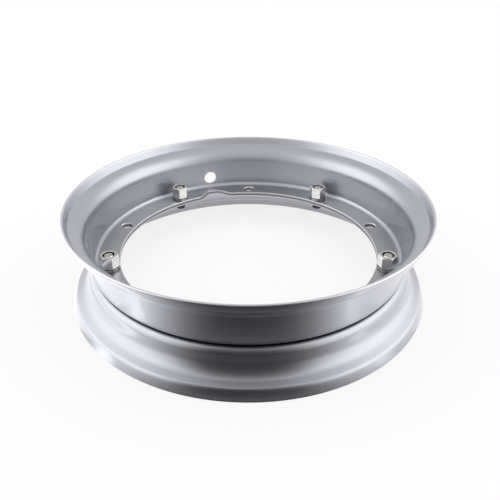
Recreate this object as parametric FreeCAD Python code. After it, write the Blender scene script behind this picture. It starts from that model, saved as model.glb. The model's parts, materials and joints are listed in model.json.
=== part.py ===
import FreeCAD, Part
import math
import os

# Two-piece pressed steel wheel rim for a small scooter tyre, lying on its inboard flange.
# Two dished halves meet back to back on flat rings. Bolts, spring washers and nuts clamp the rings,
# and the free holes between the bolts take the studs of the hub.
# The wheel axis is +Z, the origin is on the floor. Lengths are in millimetres, angles in degrees.

# Tyre side of the two halves
BEAD_SEAT_DIAMETER = 253.2
SEAT_TAPER = 5.0
OUTER_HALF_DEPTH = 45.0
INNER_HALF_DEPTH = 29.0
FLANGE_HEIGHT = 13.9
FLANGE_SLOPE = 24.0
LIP_DEPTH = 8.0
LIP_ANGLE = 68.0

# Pressed sheet, with its bend radii on the tyre side
SHEET = 2.0
RING_BEND = 6.0
FLANGE_BEND = 13.0
LIP_BEND = 4.0
EDGE_ROUND = 0.5

# Holes in the flat rings
HOLE_COUNT = 5
FIRST_STUD_ANGLE = 18.0
STUD_HOLE_DIAMETER = 9.0
STUD_HOLE_CHAMFER = 0.5
WASHER_ROOM = 0.465
RING_LIP = 8.0

# Valve hole in the wall of the outer half, and the notch in both rings that makes room for the valve
VALVE_HOLE_DIAMETER = 11.5
VALVE_HEIGHT = 11.0
NOTCH_WIDTH = 29.0
NOTCH_FLOOR = 9.0
NOTCH_DEPTH = 9.5
NOTCH_FLOOR_ROUND = 6.0
NOTCH_FOOT_ROUND = 7.0

# Clamp bolts with their nuts and spring washers
BOLT_DIAMETER = 8.0
BOLT_HOLE_CLEARANCE = 0.2
BOLT_END_CHAMFER = 1.0
BOLT_END_RECESS = 0.6
WRENCH_SIZE = 13.0
HEAD_HEIGHT = 5.3
NUT_HEIGHT = 10.0
NUT_COUNTERSINK = 0.6
NUT_TURNS = (48.0, 26.0, 42.0, 10.0, 2.0)
HEX_CHAMFER_ANGLE = 30.0
HEX_FACE_SHARE = 0.95
THREAD_CLEARANCE = 0.05
WASHER_THICKNESS = 2.0
WASHER_WIDTH = 3.35
WASHER_SLIT = 0.8
WASHER_SLIT_SLANT = 20.0
WASHER_SLIT_TURN = 150.0

# Places that follow from the sizes above
SEAT_RADIUS = BEAD_SEAT_DIAMETER / 2
FLANGE_RADIUS = SEAT_RADIUS + FLANGE_HEIGHT
HOLE_PITCH = 360.0 / HOLE_COUNT
FIRST_BOLT_ANGLE = FIRST_STUD_ANGLE + HOLE_PITCH / 2
VALVE_ANGLE = FIRST_STUD_ANGLE + HOLE_PITCH * 5 / 4
JOINT_Z = INNER_HALF_DEPTH
RING_TOP_Z = JOINT_Z + SHEET
RING_BOTTOM_Z = JOINT_Z - SHEET
NUT_SEAT_Z = RING_TOP_Z + WASHER_THICKNESS
BOLT_END_Z = NUT_SEAT_Z + NUT_HEIGHT - BOLT_END_RECESS
BOLT_RADIUS = BOLT_DIAMETER / 2
WASHER_INNER_RADIUS = BOLT_RADIUS + THREAD_CLEARANCE
WASHER_OUTER_RADIUS = WASHER_INNER_RADIUS + WASHER_WIDTH

ORIGIN = FreeCAD.Vector(0, 0, 0)
AXIS = FreeCAD.Vector(0, 0, 1)
OVERCUT = 1.0


def section_point(radius, height):
    """A point of a section, in the plane that holds the wheel axis."""
    return FreeCAD.Vector(radius, 0, height)


def across_sheet(run):
    """Direction through the sheet, from its tyre side to its open side, on a straight run."""
    return section_point(-run.z, run.x)


def tyre_side_corners(depth):
    """Sharp corners of the tyre side of one half, with heights counted from the joint.

    The ring leads to the wall, the wall to the sloping flange and the flange to the turned-up lip.
    The bead seat diameter is that of the tapered wall at the height where the lip starts.
    """
    flange_height = depth - LIP_DEPTH
    taper = math.tan(math.radians(SEAT_TAPER))
    slope = math.tan(math.radians(FLANGE_SLOPE))
    wall_foot = SEAT_RADIUS - flange_height * taper
    lip = section_point(math.cos(math.radians(LIP_ANGLE)), math.sin(math.radians(LIP_ANGLE)))
    round_centre = section_point(FLANGE_RADIUS - SHEET / 2, depth - SHEET / 2)
    lip_end = round_centre - across_sheet(lip) * (SHEET / 2)
    lip_foot = lip_end - lip * ((lip_end.z - flange_height) / lip.z)
    wall_height = (flange_height - (lip_foot.x - wall_foot) * slope) / (1 - taper * slope)
    wall_end = section_point(wall_foot + wall_height * taper, wall_height)
    return [section_point(wall_foot, 0), wall_end, lip_foot, lip_end]


def bend_stations(before, corner, after, radius):
    """Start, middle and end of a bend on the tyre side, each with the direction through the sheet."""
    run_in = (corner - before).normalize()
    run_out = (after - corner).normalize()
    across_in = across_sheet(run_in)
    across_out = across_sheet(run_out)
    across_middle = (across_in + across_out).normalize()
    turn = run_in.getAngle(run_out)
    reach = radius * math.tan(turn / 2)
    towards_open_side = 1 if run_out.dot(across_in) > 0 else -1
    start = corner - run_in * reach
    centre = start + across_in * (radius * towards_open_side)
    middle = centre - across_middle * (radius * towards_open_side)
    end = corner + run_out * reach
    return [(start, across_in), (middle, across_middle), (end, across_out)]


def sheet_stations(depth, first_radius):
    """Points along the tyre side of one half, runs and bends in turn, from the ring to the lip."""
    first = section_point(first_radius, 0)
    corners = [first] + tyre_side_corners(depth)
    stations = [(first, AXIS)]
    for index, radius in enumerate((RING_BEND, FLANGE_BEND, LIP_BEND), start=1):
        stations += bend_stations(corners[index - 1], corners[index], corners[index + 1], radius)
    stations.append((corners[-1], stations[-1][1]))
    return stations


def side_edges(points):
    """Straight runs and arcs through the points of one side of the sheet."""
    edges = [Part.LineSegment(points[0], points[1]).toShape()]
    for index in range(1, len(points) - 1, 3):
        start, middle, end, run_end = points[index:index + 4]
        edges.append(Part.Arc(start, middle, end).toShape())
        edges.append(Part.LineSegment(end, run_end).toShape())
    return edges


def land_outer_radius(depth):
    """Radius at which the flat open side of a ring ends and its bend begins."""
    bend_start, across = sheet_stations(depth, 0)[1]
    return (bend_start + across * SHEET).x


BOLT_CIRCLE_RADIUS = land_outer_radius(OUTER_HALF_DEPTH) - WASHER_ROOM - WASHER_OUTER_RADIUS
RING_HOLE_RADIUS = BOLT_CIRCLE_RADIUS - RING_LIP


def sheet_section(depth):
    """Closed section of one half: tyre side, rounded lip edge, open side and the edge of the ring hole."""
    stations = sheet_stations(depth, RING_HOLE_RADIUS)
    tyre_side = [point for point, across in stations]
    open_side = [point + across * SHEET for point, across in stations]
    run_out = (tyre_side[-1] - tyre_side[-2]).normalize()
    lip_tip = (tyre_side[-1] + open_side[-1]) * 0.5 + run_out * (SHEET / 2)
    edges = side_edges(tyre_side)
    edges.append(Part.Arc(tyre_side[-1], lip_tip, open_side[-1]).toShape())
    edges += side_edges(open_side)
    edges.append(Part.LineSegment(open_side[0], tyre_side[0]).toShape())
    return Part.Face(Part.Wire(Part.__sortEdges__(edges)))


def notch_cutter():
    """Sharp-cornered prism of the valve notch, through one ring whose joint face is at height zero."""
    floor_radius = RING_HOLE_RADIUS + NOTCH_DEPTH
    open_radius = RING_HOLE_RADIUS - NOTCH_DEPTH
    floor_half = NOTCH_FLOOR / 2
    open_half = NOTCH_WIDTH - floor_half
    outline = [(floor_radius, -floor_half), (floor_radius, floor_half),
               (open_radius, open_half), (open_radius, -open_half)]
    points = [FreeCAD.Vector(x, y, -OVERCUT) for x, y in outline]
    cutter = Part.Face(Part.makePolygon(points + points[:1])).extrude(AXIS * (SHEET + 2 * OVERCUT))
    cutter.rotate(ORIGIN, AXIS, VALVE_ANGLE)
    return cutter


def notch_edges(half, at_floor):
    """Upright edges of the notch, either at its floor or where it opens into the ring hole."""
    turn = math.radians(VALVE_ANGLE)
    along_notch = FreeCAD.Vector(math.cos(turn), math.sin(turn), 0)
    found = []
    for edge in half.Edges:
        upright = abs(edge.tangentAt(edge.FirstParameter).z) > 0.99
        place = edge.CenterOfMass
        aside = abs(place.cross(along_notch).z)
        inward = place.dot(along_notch) - RING_HOLE_RADIUS
        in_notch = 0 < aside < NOTCH_WIDTH and abs(inward) < NOTCH_DEPTH + OVERCUT
        if upright and in_notch and (inward > NOTCH_DEPTH / 2) == at_floor:
            found.append(edge)
    return found


def ring_hole_edges(half):
    """Edges of the ring hole, with its notch, on both flat faces of the ring."""
    edges = []
    for face in half.Faces:
        flat = isinstance(face.Surface, Part.Plane) and abs(face.normalAt(0, 0).z) > 0.99
        if flat and len(face.Wires) > 1:
            inner = [wire for wire in face.Wires if not wire.isSame(face.OuterWire)]
            edges += max(inner, key=lambda wire: wire.BoundBox.DiagonalLength).Edges
    return edges


def at_bolt_circle(shape, angle):
    """Copy of a shape made on the axis, moved out to the bolt circle at an angle."""
    placed = shape.copy()
    placed.translate(FreeCAD.Vector(BOLT_CIRCLE_RADIUS, 0, 0))
    placed.rotate(ORIGIN, AXIS, angle)
    return placed


def stud_hole_cutter():
    """Hole for one hub stud, chamfered on the open side of its ring."""
    radius = STUD_HOLE_DIAMETER / 2
    hole = Part.makeCylinder(radius, SHEET + 2 * OVERCUT, FreeCAD.Vector(0, 0, -OVERCUT))
    mouth = FreeCAD.Vector(0, 0, SHEET - STUD_HOLE_CHAMFER)
    chamfer_depth = STUD_HOLE_CHAMFER + OVERCUT
    return hole.fuse(Part.makeCone(radius, radius + chamfer_depth, chamfer_depth, mouth))


def bolt_hole_cutter():
    """Clearance hole for one clamp bolt through one ring."""
    radius = BOLT_RADIUS + BOLT_HOLE_CLEARANCE
    return Part.makeCylinder(radius, SHEET + 2 * OVERCUT, FreeCAD.Vector(0, 0, -OVERCUT))


def rim_half(depth):
    """One pressed half with its joint face at height zero and its dish opening upwards."""
    half = sheet_section(depth).revolve(ORIGIN, AXIS, 360)
    half = half.cut(notch_cutter())
    half = half.makeFillet(NOTCH_FLOOR_ROUND, notch_edges(half, True))
    half = half.makeFillet(NOTCH_FOOT_ROUND, notch_edges(half, False))
    half = half.makeFillet(EDGE_ROUND, ring_hole_edges(half))
    for index in range(HOLE_COUNT):
        half = half.cut(at_bolt_circle(stud_hole_cutter(), FIRST_STUD_ANGLE + index * HOLE_PITCH))
        half = half.cut(at_bolt_circle(bolt_hole_cutter(), FIRST_BOLT_ANGLE + index * HOLE_PITCH))
    return half


def outer_half():
    """Deep half, dish upwards, with the valve hole through its wall."""
    half = rim_half(OUTER_HALF_DEPTH)
    half.translate(AXIS * JOINT_Z)
    turn = math.radians(VALVE_ANGLE)
    outwards = FreeCAD.Vector(math.cos(turn), math.sin(turn), 0)
    start = outwards * BOLT_CIRCLE_RADIUS + AXIS * (JOINT_Z + VALVE_HEIGHT)
    length = SEAT_RADIUS + OVERCUT - BOLT_CIRCLE_RADIUS
    return half.cut(Part.makeCylinder(VALVE_HOLE_DIAMETER / 2, length, start, outwards))


def inner_half():
    """Shallow half, the same pressing turned over so that its dish opens downwards."""
    half = rim_half(INNER_HALF_DEPTH)
    half = half.mirror(ORIGIN, AXIS)
    half.translate(AXIS * JOINT_Z)
    return half


def hex_blank(height, chamfer_bottom):
    """Hexagon standing on the origin, chamfered by a turning tool at its top and, if asked, its bottom."""
    corner_radius = WRENCH_SIZE / math.sqrt(3)
    face_radius = HEX_FACE_SHARE * WRENCH_SIZE / 2
    drop = (corner_radius - face_radius) * math.tan(math.radians(HEX_CHAMFER_ANGLE))
    corners = []
    for index in range(7):
        turn = math.radians(60 * index)
        corners.append(FreeCAD.Vector(corner_radius * math.cos(turn), corner_radius * math.sin(turn), 0))
    prism = Part.Face(Part.makePolygon(corners)).extrude(AXIS * height)
    outline = [section_point(0, 0), section_point(corner_radius, 0), section_point(corner_radius, height - drop),
               section_point(face_radius, height), section_point(0, height)]
    if chamfer_bottom:
        outline[1:2] = [section_point(face_radius, 0), section_point(corner_radius, drop)]
    turned = Part.Face(Part.makePolygon(outline + outline[:1])).revolve(ORIGIN, AXIS, 360)
    return prism.common(turned)


def clamp_bolt():
    """Hex bolt on the axis, its head under the lower ring and its chamfered end inside the nut."""
    head = hex_blank(HEAD_HEIGHT, False).mirror(ORIGIN, AXIS)
    head.translate(AXIS * RING_BOTTOM_Z)
    straight = BOLT_END_Z - BOLT_END_CHAMFER - RING_BOTTOM_Z
    shank = Part.makeCylinder(BOLT_RADIUS, straight, AXIS * RING_BOTTOM_Z)
    end_radius = BOLT_RADIUS - BOLT_END_CHAMFER
    end = Part.makeCone(BOLT_RADIUS, end_radius, BOLT_END_CHAMFER, AXIS * (BOLT_END_Z - BOLT_END_CHAMFER))
    return head.fuse([shank, end]).removeSplitter()


def spring_washer():
    """Split spring washer pressed flat on the upper ring, with a slanting slit."""
    ring = Part.makeCylinder(WASHER_OUTER_RADIUS, WASHER_THICKNESS)
    ring = ring.cut(Part.makeCylinder(WASHER_INNER_RADIUS, WASHER_THICKNESS))
    slit_height = 2 * WASHER_THICKNESS
    corner = FreeCAD.Vector(0, -WASHER_SLIT / 2, -slit_height / 2)
    slit = Part.makeBox(WASHER_OUTER_RADIUS + OVERCUT, WASHER_SLIT, slit_height, corner)
    slit.rotate(ORIGIN, FreeCAD.Vector(1, 0, 0), WASHER_SLIT_SLANT)
    slit.translate(AXIS * (WASHER_THICKNESS / 2))
    washer = ring.cut(slit)
    washer.rotate(ORIGIN, AXIS, WASHER_SLIT_TURN)
    washer.translate(AXIS * RING_TOP_Z)
    return washer


def clamp_nut(turn):
    """Tall hex nut on its washer, bored for the bolt and countersunk at both ends."""
    radius = BOLT_RADIUS + THREAD_CLEARANCE
    mouth_radius = radius + NUT_COUNTERSINK
    nut = hex_blank(NUT_HEIGHT, True).cut(Part.makeCylinder(radius, NUT_HEIGHT))
    nut = nut.cut(Part.makeCone(mouth_radius, radius, NUT_COUNTERSINK))
    top = AXIS * (NUT_HEIGHT - NUT_COUNTERSINK)
    nut = nut.cut(Part.makeCone(radius, mouth_radius, NUT_COUNTERSINK, top))
    nut.rotate(ORIGIN, AXIS, turn)
    nut.translate(AXIS * NUT_SEAT_Z)
    return nut


def fastener_sets():
    """The bolts, washers and nuts of all clamp places, each kind as one group of separate solids."""
    bolts = []
    washers = []
    nuts = []
    for index in range(HOLE_COUNT):
        angle = FIRST_BOLT_ANGLE + index * HOLE_PITCH
        bolts.append(at_bolt_circle(clamp_bolt(), angle))
        washers.append(at_bolt_circle(spring_washer(), angle))
        nuts.append(at_bolt_circle(clamp_nut(NUT_TURNS[index % len(NUT_TURNS)]), angle))
    return {"clamp_bolts": bolts, "spring_washers": washers, "clamp_nuts": nuts}


def main():
    """Write one file per kind of piece and print its solids, volume and span."""
    os.makedirs("parts", exist_ok=True)
    pieces = {"outer_half": outer_half(), "inner_half": inner_half()}
    for name, solids in fastener_sets().items():
        pieces[name] = Part.makeCompound(solids)
    for name, shape in pieces.items():
        shape.exportStep(f"parts/{name}.step")
        box = shape.BoundBox
        print(f"{name}: {len(shape.Solids)} solids, valid {shape.isValid()}, {shape.Volume:.1f} mm3,",
              f"x {box.XLength:.2f}, z {box.ZMin:.2f} to {box.ZMax:.2f}")
    print(f"bolt circle {2 * BOLT_CIRCLE_RADIUS:.3f}, ring hole {2 * RING_HOLE_RADIUS:.3f}")


main()
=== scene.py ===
# %% [markdown]
# # A split scooter rim in a light tent
#
# The object is a wheel rim pressed from two steel dishes. The deep outer half stands on the shallow
# inner half, and bolts with spring washers and tall nuts clamp their flat rings together.
# The solids of all pieces are already measured and packed, so this lesson starts from them and makes
# what a camera sees: smooth pressed sheet, crisp hexagons, paint, plating and studio light.

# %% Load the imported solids
import json
import math

import bpy
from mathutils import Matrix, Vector


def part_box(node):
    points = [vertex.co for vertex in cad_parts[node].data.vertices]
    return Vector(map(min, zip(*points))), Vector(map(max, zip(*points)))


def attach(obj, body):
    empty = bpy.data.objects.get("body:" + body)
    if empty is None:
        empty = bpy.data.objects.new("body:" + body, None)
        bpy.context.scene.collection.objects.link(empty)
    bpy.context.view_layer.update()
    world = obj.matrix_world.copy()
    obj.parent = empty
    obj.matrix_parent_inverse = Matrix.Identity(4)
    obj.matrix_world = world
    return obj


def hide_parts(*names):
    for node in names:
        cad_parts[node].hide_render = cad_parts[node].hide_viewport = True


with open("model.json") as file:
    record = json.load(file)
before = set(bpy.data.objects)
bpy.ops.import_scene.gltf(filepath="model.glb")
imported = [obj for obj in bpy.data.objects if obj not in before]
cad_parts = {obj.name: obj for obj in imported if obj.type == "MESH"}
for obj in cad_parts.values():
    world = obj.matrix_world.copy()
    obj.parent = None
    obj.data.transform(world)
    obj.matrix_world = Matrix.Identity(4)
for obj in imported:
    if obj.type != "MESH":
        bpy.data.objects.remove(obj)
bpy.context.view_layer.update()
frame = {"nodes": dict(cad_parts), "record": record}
print("nodes:", ", ".join(sorted(frame["nodes"])))

# %% [markdown]
# ## Sizes
#
# Whatever the solids and their record can tell is read from them, so the dressed pieces land where the
# solids are. Only the sheet's own sizes, such as its thickness and bend radii, are written out here.
# Everything is in metres and radians, as Blender counts.

# %% Sizes read from the frame
MM = 0.001
mounts = {mount["name"]: mount for mount in frame["record"]["mounts"]}
outer_low, outer_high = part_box("outer_half")
inner_low, inner_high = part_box("inner_half")

JOINT_Z = outer_low.z
OUTER_DEPTH = outer_high.z - outer_low.z
INNER_DEPTH = inner_high.z - inner_low.z
FLANGE_RADIUS = round(outer_high.x, 4)
RING_HOLE_RADIUS = mounts["hub_opening"]["dims"]["r_mm"] * MM
BOLT_CIRCLE_RADIUS = mounts["hub_stud_holes"]["dims"]["pcd_mm"] / 2 * MM
STUD_HOLE_RADIUS = mounts["hub_stud_holes"]["dims"]["hole_r_mm"] * MM
HOLE_COUNT = mounts["hub_stud_holes"]["dims"]["count"]
VALVE_HOLE_RADIUS = mounts["valve_hole"]["dims"]["r_mm"] * MM
VALVE_PLACE = Vector(mounts["valve_hole"]["pos_m"])
VALVE_AXIS = Vector(mounts["valve_hole"]["axis"])
print(f"joint at {JOINT_Z:.4f} m, flange radius {FLANGE_RADIUS:.4f} m, {HOLE_COUNT} stud holes")

# %% Sizes of the sheet and its holes
SHEET = 2.0 * MM
SEAT_RADIUS = 126.6 * MM
SEAT_TAPER = math.radians(5.0)
LIP_DEPTH = 8.0 * MM
LIP_ANGLE = math.radians(68.0)
RING_BEND = 6.0 * MM
FLANGE_BEND = 13.0 * MM
LIP_BEND = 4.0 * MM
FLANGE_SLOPE = math.radians(24.0)
EDGE_ROUND = 0.5 * MM
STUD_HOLE_CHAMFER = 0.5 * MM
BOLT_HOLE_RADIUS = 4.2 * MM
FIRST_STUD_ANGLE = math.radians(18.0)
HOLE_PITCH = 2 * math.pi / HOLE_COUNT
FIRST_BOLT_ANGLE = FIRST_STUD_ANGLE + HOLE_PITCH / 2
VALVE_ANGLE = math.atan2(VALVE_AXIS.y, VALVE_AXIS.x)
print(f"sheet {SHEET / MM:.1f} mm, first bolt at {math.degrees(FIRST_BOLT_ANGLE):.0f} degrees")

# %% [markdown]
# ## Small helpers for node trees
#
# Every tree below is built in code. One helper adds a node and fills its inputs, either with a number or
# with a link from another node. The others chain arithmetic on fields, which is how a rule such as
# "never wider than a hexagon" is written in Geometry Nodes. Shader trees take the same arithmetic, so a
# mask such as "near the seam" is written with the same words.

# %% Helpers for nodes and sums
def fill(tree, sockets, values):
    """Set sockets to values, or link them from other sockets."""
    for key, value in values.items():
        if isinstance(value, bpy.types.NodeSocket):
            tree.links.new(value, sockets[key])
        else:
            sockets[key].default_value = value


def add_node(tree, kind, inputs=None, **settings):
    """New node with its settings, and its inputs set to values or linked from sockets."""
    made = tree.nodes.new(kind)
    for name, value in settings.items():
        setattr(made, name, value)
    fill(tree, made.inputs, inputs or {})
    return made


def calc(tree, operation, *values):
    """Result socket of one Math node."""
    made = add_node(tree, "ShaderNodeMath", dict(enumerate(values)), operation=operation)
    return made.outputs[0]


def product(tree, first, *others):
    """Product of several values."""
    for other in others:
        first = calc(tree, "MULTIPLY", first, other)
    return first


def ramp(tree, value, low, high, at_low=0.0, at_high=1.0, kind="SMOOTHSTEP"):
    """Ramp of a value between two limits, soft at both ends unless told otherwise."""
    limits = {"Value": value, "From Min": low, "From Max": high, "To Min": at_low, "To Max": at_high}
    return add_node(tree, "ShaderNodeMapRange", limits, interpolation_type=kind).outputs[0]


def band(tree, value, limits):
    """Mask that rises between the first two limits and falls between the last two."""
    rising = ramp(tree, value, limits[0], limits[1])
    return product(tree, rising, ramp(tree, value, limits[2], limits[3], 1.0, 0.0))


print("helpers for sums: calc, product, ramp, band")


# %% Helpers for places
def combine(tree, x=0.0, y=0.0, z=0.0):
    """Vector from three values."""
    return add_node(tree, "ShaderNodeCombineXYZ", {0: x, 1: y, 2: z}).outputs[0]


def length(tree, vector):
    """Length of a vector."""
    return add_node(tree, "ShaderNodeVectorMath", {0: vector}, operation="LENGTH").outputs["Value"]


def polar(tree, place):
    """Radius, turn and height of a place about the wheel axis."""
    x, y, z = add_node(tree, "ShaderNodeSeparateXYZ", {0: place}).outputs
    squares = calc(tree, "ADD", calc(tree, "MULTIPLY", x, x), calc(tree, "MULTIPLY", y, y))
    return calc(tree, "SQRT", squares), calc(tree, "ARCTAN2", y, x), z


def from_polar(tree, radius, turn, height):
    """Place from radius, turn and height."""
    x = calc(tree, "MULTIPLY", radius, calc(tree, "COSINE", turn))
    y = calc(tree, "MULTIPLY", radius, calc(tree, "SINE", turn))
    return combine(tree, x, y, height)


print("helpers for places: combine, length, polar, from_polar")

# %% [markdown]
# ## Geometry trees from start to end
#
# All trees begin with named inputs and end alike: edges that turn sharply stay crisp, the rest is shaded
# smooth, copies become real and the material is set. Doing this in one place keeps the trees themselves
# about shape alone.

# %% Helpers for geometry trees
SHARP_ANGLE = math.radians(28.0)


def geometry_tree(name, inputs):
    """Empty geometry tree with named inputs, its input sockets and the identifiers of its inputs."""
    tree = bpy.data.node_groups.new(name, "GeometryNodeTree")
    tree.interface.new_socket("Geometry", in_out="OUTPUT", socket_type="NodeSocketGeometry")
    identifiers = {}
    for label, kind in [("Geometry", "Geometry"), *inputs.items()]:
        socket = tree.interface.new_socket(label, in_out="INPUT", socket_type="NodeSocket" + kind)
        identifiers[label] = socket.identifier
    return tree, tree.nodes.new("NodeGroupInput").outputs, identifiers


def own_polar(tree):
    """Radius, turn and height of each point of the mesh, as fields."""
    return polar(tree, add_node(tree, "GeometryNodeInputPosition").outputs[0])


def moved_points(tree, geometry, place):
    """Geometry with every point moved to a new place."""
    made = add_node(tree, "GeometryNodeSetPosition", {"Geometry": geometry, "Position": place})
    return made.outputs[0]


def moved(tree, geometry, **placing):
    """Geometry turned by a Rotation, then shifted by a Translation."""
    return add_node(tree, "GeometryNodeTransform", {"Geometry": geometry, **placing}).outputs[0]


def close_tree(tree, geometry):
    """Send the finished geometry to the tree's output."""
    add_node(tree, "NodeGroupOutput", {0: geometry})


def finish_tree(tree, geometry, material):
    """Shade smooth apart from sharp edges, make copies real, set the material and end the tree."""
    smooth = add_node(tree, "GeometryNodeSetShadeSmooth", {"Geometry": geometry, "Shade Smooth": True})
    angle = add_node(tree, "GeometryNodeInputMeshEdgeAngle").outputs["Unsigned Angle"]
    soft = calc(tree, "LESS_THAN", angle, SHARP_ANGLE)
    edged = add_node(tree, "GeometryNodeSetShadeSmooth",
                     {"Geometry": smooth.outputs[0], "Shade Smooth": soft}, domain="EDGE")
    real = add_node(tree, "GeometryNodeRealizeInstances", {0: edged.outputs[0]})
    coated = add_node(tree, "GeometryNodeSetMaterial", {"Geometry": real.outputs[0], "Material": material})
    close_tree(tree, coated.outputs[0])


print(f"edges past {math.degrees(SHARP_ANGLE):.0f} degrees stay sharp")

# %% [markdown]
# ## One lathe for all pieces
#
# Pressed rings, nuts, bolts and washers are all round, so they share one node group that turns a section
# about the wheel axis. A spin in bmesh or a Screw modifier would do the same once. The group sweeps the
# section along a small circle, which keeps the section editable and leaves room for rules after it.

# %% The lathe group
PATH_RADIUS = 1.0 * MM
WELD_DISTANCE = 0.001 * MM


def make_lathe():
    """Node group that turns a section, drawn in the plane of X and Z, about the Z axis."""
    tree, given, _ = geometry_tree("turn_section", {"Steps": "Int"})
    radius, _, height = own_polar(tree)
    flat = combine(tree, calc(tree, "SUBTRACT", radius, PATH_RADIUS), calc(tree, "MULTIPLY", height, -1.0))
    laid = moved_points(tree, given["Geometry"], flat)
    section = add_node(tree, "GeometryNodeMeshToCurve", {"Mesh": laid})
    path = add_node(tree, "GeometryNodeCurvePrimitiveCircle",
                    {"Resolution": given["Steps"], "Radius": PATH_RADIUS})
    swept = add_node(tree, "GeometryNodeCurveToMesh",
                     {"Curve": path.outputs[0], "Profile Curve": section.outputs[0]})
    welded = add_node(tree, "GeometryNodeMergeByDistance",
                      {"Geometry": swept.outputs[0], "Distance": WELD_DISTANCE})
    close_tree(tree, welded.outputs[0])
    return tree


lathe_group = make_lathe()


def lathe(tree, section, steps):
    """Place the lathe group in a tree and return the turned mesh."""
    given = {"Geometry": section, "Steps": steps}
    return add_node(tree, "GeometryNodeGroup", given, node_tree=lathe_group).outputs[0]


print("lathe group ready:", lathe_group.name)

# %% [markdown]
# ## From a section to a finished piece
#
# A section is a loop of edges in the plane of X and Z. The piece's object first holds that loop, gets the
# tree as a modifier, and is then frozen: the evaluated mesh replaces the loop and the modifier goes.
# The printed volume is positive only if the faces point outwards, so it doubles as a test.

# %% Helpers for sections and pieces
def runs_clockwise(points):
    """Whether a section's points run clockwise, seen with the axis on the left."""
    following = points[1:] + points[:1]
    return sum(r * next_z - next_r * z for (r, z), (next_r, next_z) in zip(points, following)) < 0


def section_mesh(name, points, closed):
    """Mesh of edges through section points, each given as radius and height."""
    if not runs_clockwise(points):
        points = points[::-1]
    edges = [(index, index + 1) for index in range(len(points) - 1)]
    if closed:
        edges.append((len(points) - 1, 0))
    mesh = bpy.data.meshes.new(name)
    mesh.from_pydata([(radius, 0, height) for radius, height in points], edges, [])
    return mesh


def signed_volume(mesh):
    """Volume by the divergence rule, positive when the faces point outwards."""
    return sum(face.center.dot(face.normal) * face.area for face in mesh.polygons) / 3


def make_piece(name, mesh, tree, identifiers, values):
    """Run a tree on a mesh, freeze the result as a plain mesh and return the object."""
    piece = bpy.data.objects.new(name, mesh)
    bpy.context.scene.collection.objects.link(piece)
    modifier = piece.modifiers.new(tree.name, "NODES")
    modifier.node_group = tree
    for label, value in values.items():
        modifier[identifiers[label]] = value
    depsgraph = bpy.context.evaluated_depsgraph_get()
    frozen = bpy.data.meshes.new_from_object(piece.evaluated_get(depsgraph))
    piece.modifiers.clear()
    piece.data = frozen
    frozen.name = name
    print(f"{name}: {len(frozen.polygons)} faces, {signed_volume(frozen) / MM ** 3:.0f} cubic mm")
    return piece


def dress(piece, node):
    """Let a piece stand for a solid and ride on the one body."""
    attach(piece, "root")
    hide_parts(node)


# %% [markdown]
# ## The pressed section
#
# Both halves are one sheet bent three times: ring to wall, wall to flange, flange to lip. The section is
# laid out on the tyre side as straight runs joined by arcs, and every point remembers which way leads
# through the sheet, so the open side is the same line moved by the sheet's thickness. A Solidify modifier
# would do that too, but it can't give the lip its full round and the ring its small one.

# %% Bends of the sheet
BEND_STEPS = 12


def across_sheet(run):
    """Direction through the sheet from the tyre side to the open side, on a straight run."""
    return Vector((-run.y, run.x))


def bend(before, corner, after, radius):
    """Points of one bend on the tyre side, each with the direction through the sheet."""
    run_in = (corner - before).normalized()
    run_out = (after - corner).normalized()
    turn = run_in.angle_signed(run_out) * -1
    start = corner - run_in * (radius * math.tan(abs(turn) / 2))
    side = 1 if turn > 0 else -1
    first = across_sheet(run_in)
    centre = start + first * (radius * side)
    points = []
    for step in range(BEND_STEPS + 1):
        angle = turn * step / BEND_STEPS
        across = Vector((first.x * math.cos(angle) - first.y * math.sin(angle),
                         first.x * math.sin(angle) + first.y * math.cos(angle)))
        points.append((centre - across * (radius * side), across))
    return points


def arc(centre, radius, first, sweep, steps):
    """Points of an arc, both ends included."""
    angles = [first + sweep * step / steps for step in range(steps + 1)]
    return [centre + Vector((math.cos(angle), math.sin(angle))) * radius for angle in angles]


print(f"each bend has {BEND_STEPS} steps")

# %% Section of one half
ROUND_STEPS = 4
TIP_STEPS = 8


def section_corners(depth):
    """Sharp corners of the sheet's tyre side, from the ring's edge to the end of the lip."""
    flange = depth - LIP_DEPTH
    lip = Vector((math.cos(LIP_ANGLE), math.sin(LIP_ANGLE)))
    tip_centre = Vector((FLANGE_RADIUS - SHEET / 2, depth - SHEET / 2))
    lip_end = tip_centre - across_sheet(lip) * (SHEET / 2)
    lip_foot = lip_end - lip * ((lip_end.y - flange) / lip.y)
    taper = math.tan(SEAT_TAPER)
    slope = math.tan(FLANGE_SLOPE)
    wall_foot = SEAT_RADIUS - flange * taper
    wall_height = (flange - (lip_foot.x - wall_foot) * slope) / (1 - taper * slope)
    wall_end = Vector((wall_foot + wall_height * taper, wall_height))
    return [Vector((RING_HOLE_RADIUS, 0)), Vector((wall_foot, 0)), wall_end, lip_foot, lip_end], tip_centre


def half_section(depth):
    """Closed outline of one half, as radius and height above the joint."""
    corners, tip_centre = section_corners(depth)
    stations = []
    for index, radius in enumerate((RING_BEND, FLANGE_BEND, LIP_BEND), start=1):
        stations += bend(corners[index - 1], corners[index], corners[index + 1], radius)
    across_lip = stations[-1][1]
    stations.append((corners[-1], across_lip))
    tyre_side = [point for point, across in stations]
    open_side = [point + across * SHEET for point, across in stations]
    tip = arc(tip_centre, SHEET / 2, LIP_ANGLE - math.pi / 2, math.pi, TIP_STEPS)[1:-1]
    edge = []
    for height, first in ((SHEET - EDGE_ROUND, math.pi / 2), (EDGE_ROUND, math.pi)):
        centre = Vector((RING_HOLE_RADIUS + EDGE_ROUND, height))
        edge += arc(centre, EDGE_ROUND, first, math.pi / 2, ROUND_STEPS)
    return tyre_side + tip + open_side[::-1] + edge


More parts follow.
